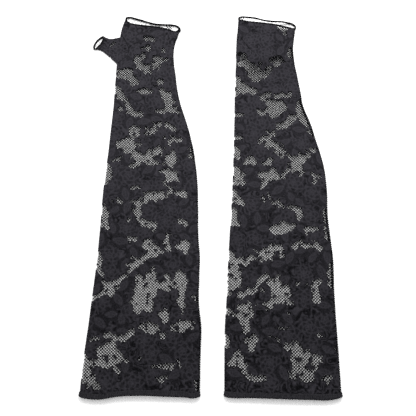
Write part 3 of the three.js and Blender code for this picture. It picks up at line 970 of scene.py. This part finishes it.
# The clothwork's colour takes in painted light and shade from its mesh: paler on the raised lines and
# towards the hand.
CLOTH = fabric_material(
    "lace clothwork", (0.001, 0.001, 0.0014), (0.0285, 0.027, 0.0325), 1.1, 0.6, painted_light_share=0.46
)
THREAD = fabric_material("net thread", (0.004, 0.004, 0.005), (0.011, 0.011, 0.012), 0.8, 0.3)
CORDING = fabric_material("corded edging", (0.003, 0.003, 0.004), (0.010, 0.010, 0.011), 0.9, 0.5)
HEMMING = fabric_material("rolled hem", (0.003, 0.003, 0.004), (0.030, 0.029, 0.033), 1.6, 0.6)

# ---------------------------------------------------------------- the two gloves


def stands_for(obj, slot, *nodes):
    """Hides the CAD nodes that the piece stands for; slot is not used."""
    if nodes:
        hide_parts(*nodes)
    return obj


def riding(obj, body, slot, *nodes):
    """The piece moves with one body."""
    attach(obj, body)
    return stands_for(obj, slot, *nodes)


def crossing(obj, thumb, slot, *nodes):
    """The piece's placing is baked into its mesh, and the CAD nodes that it stands for are hidden."""
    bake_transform(obj)
    return stands_for(obj, slot, *nodes)


def flat_size(part, layer):
    """A layer's (width, length) in metres as it is laid out, and its area in square metres."""
    x, y = part.grid(layer)
    corners = np.stack([x, y], -1)
    a = corners[1:, :-1] - corners[:-1, :-1]
    b = corners[:-1, 1:] - corners[:-1, :-1]
    area = float(np.abs(a[..., 0] * b[..., 1] - a[..., 1] * b[..., 0]).sum()) * MM * MM
    return (float(np.ptp(x)) * MM, float(np.ptp(y)) * MM), area


for side in ("left", "right"):
    hand = Hand(side)
    thumb = Thumb(hand)
    body, thumb_body = side + "_glove", side + "_thumb"
    halves, nets = {}, {}
    for layer in ("palm", "back"):
        halves[layer] = riding(clothwork(hand, layer, CLOTH), body, "sleeve", side + "_sleeve")
        nets[layer] = riding(window_net(hand, layer, THREAD), body, "sleeve")
    trims = [
        riding(sheer_net(hand, THREAD), body, "sleeve"),
        riding(hand_cord(hand, CORDING), body, "hand_edging", side + "_hand_edging"),
        riding(hem(hand, HEMMING), body, "arm_hem", side + "_arm_hem", side + "_hem_elastic"),
        riding(allowance(hand, CLOTH), body, "side_seam", side + "_side_seam"),
        riding(overlock(hand, CORDING), body, "side_seam"),
        riding(gusset_cord(hand, CORDING), body, "thumb_seam", side + "_thumb_seam"),
    ]
    sleeve_halves, sleeve_nets = {}, {}
    for layer in ("palm", "back"):
        half = clothwork(thumb, layer, CLOTH)
        sleeve_halves[layer] = crossing(half, thumb, "thumb_sleeve", side + "_thumb_sleeve")
        sleeve_nets[layer] = crossing(window_net(thumb, layer, THREAD), thumb, "thumb_sleeve")
    tip_net = riding(sheer_net(thumb, THREAD), thumb_body, "thumb_sleeve")
    tip = riding(thumb_cord(thumb, CORDING), thumb_body, "thumb_edging", side + "_thumb_edging")
    for layer in ("palm", "back"):
        flat, area = flat_size(hand, layer)
        flat, area = flat_size(thumb, layer)

# ---------------------------------------------------------------- floor, light and camera

scene = bpy.context.scene
scene.view_settings.view_transform = "Standard"
scene.view_settings.look = "None"
scene.cycles.use_denoising = False  # it blurs the net in the windows to a flat grey

FLOOR_REACH = 6  # metres
floor_corners = [(x * FLOOR_REACH, y * FLOOR_REACH, 0) for x, y in ((-1, -1), (1, -1), (1, 1), (-1, 1))]
floor_mesh = bpy.data.meshes.new("floor")
floor_mesh.from_pydata(floor_corners, [], [(0, 1, 2, 3)])
floor = bpy.data.objects.new("floor", floor_mesh)
scene.collection.objects.link(floor)
floor_material = bpy.data.materials.new("floor")
floor_material.use_nodes = True
floor_shader = floor_material.node_tree.nodes["Principled BSDF"]
floor_shader.inputs["Base Color"].default_value = (0.95, 0.95, 0.95, 1)
floor_shader.inputs["Roughness"].default_value = 0.9
floor_shader.inputs["Specular IOR Level"].default_value = 0.1
floor_mesh.materials.append(floor_material)

world = bpy.data.worlds.new("studio")
world.use_nodes = True
world.node_tree.nodes["Background"].inputs["Color"].default_value = (1, 1, 1, 1)
world.node_tree.nodes["Background"].inputs["Strength"].default_value = 1.02
scene.world = world

lamp = bpy.data.lights.new("softbox", "AREA")
lamp.shape = "RECTANGLE"
lamp.size, lamp.size_y = 0.9, 0.5
lamp.energy = 7
lamp_object = bpy.data.objects.new("softbox", lamp)
lamp_object.location = (0.05, 0.45, 0.62)
lamp_aim = Vector((0, 0.1, 0)) - lamp_object.location
lamp_object.rotation_euler = lamp_aim.to_track_quat("-Z", "Y").to_euler()
lamp_object.visible_camera = False
scene.collection.objects.link(lamp_object)

VIEW_DISTANCE = 0.815
VIEW_TARGET = Vector((0.0002, -0.0223, 0))
camera_data = bpy.data.cameras.new("camera")
camera_data.sensor_width = 36
camera_data.lens = 67.54
camera = bpy.data.objects.new("camera", camera_data)
towards_camera = Vector((0, -math.cos(VIEW_ELEVATION), math.sin(VIEW_ELEVATION)))
camera.location = VIEW_TARGET + VIEW_DISTANCE * towards_camera
camera.rotation_euler = (math.pi / 2 - VIEW_ELEVATION, 0, 0)
scene.collection.objects.link(camera)
scene.camera = camera
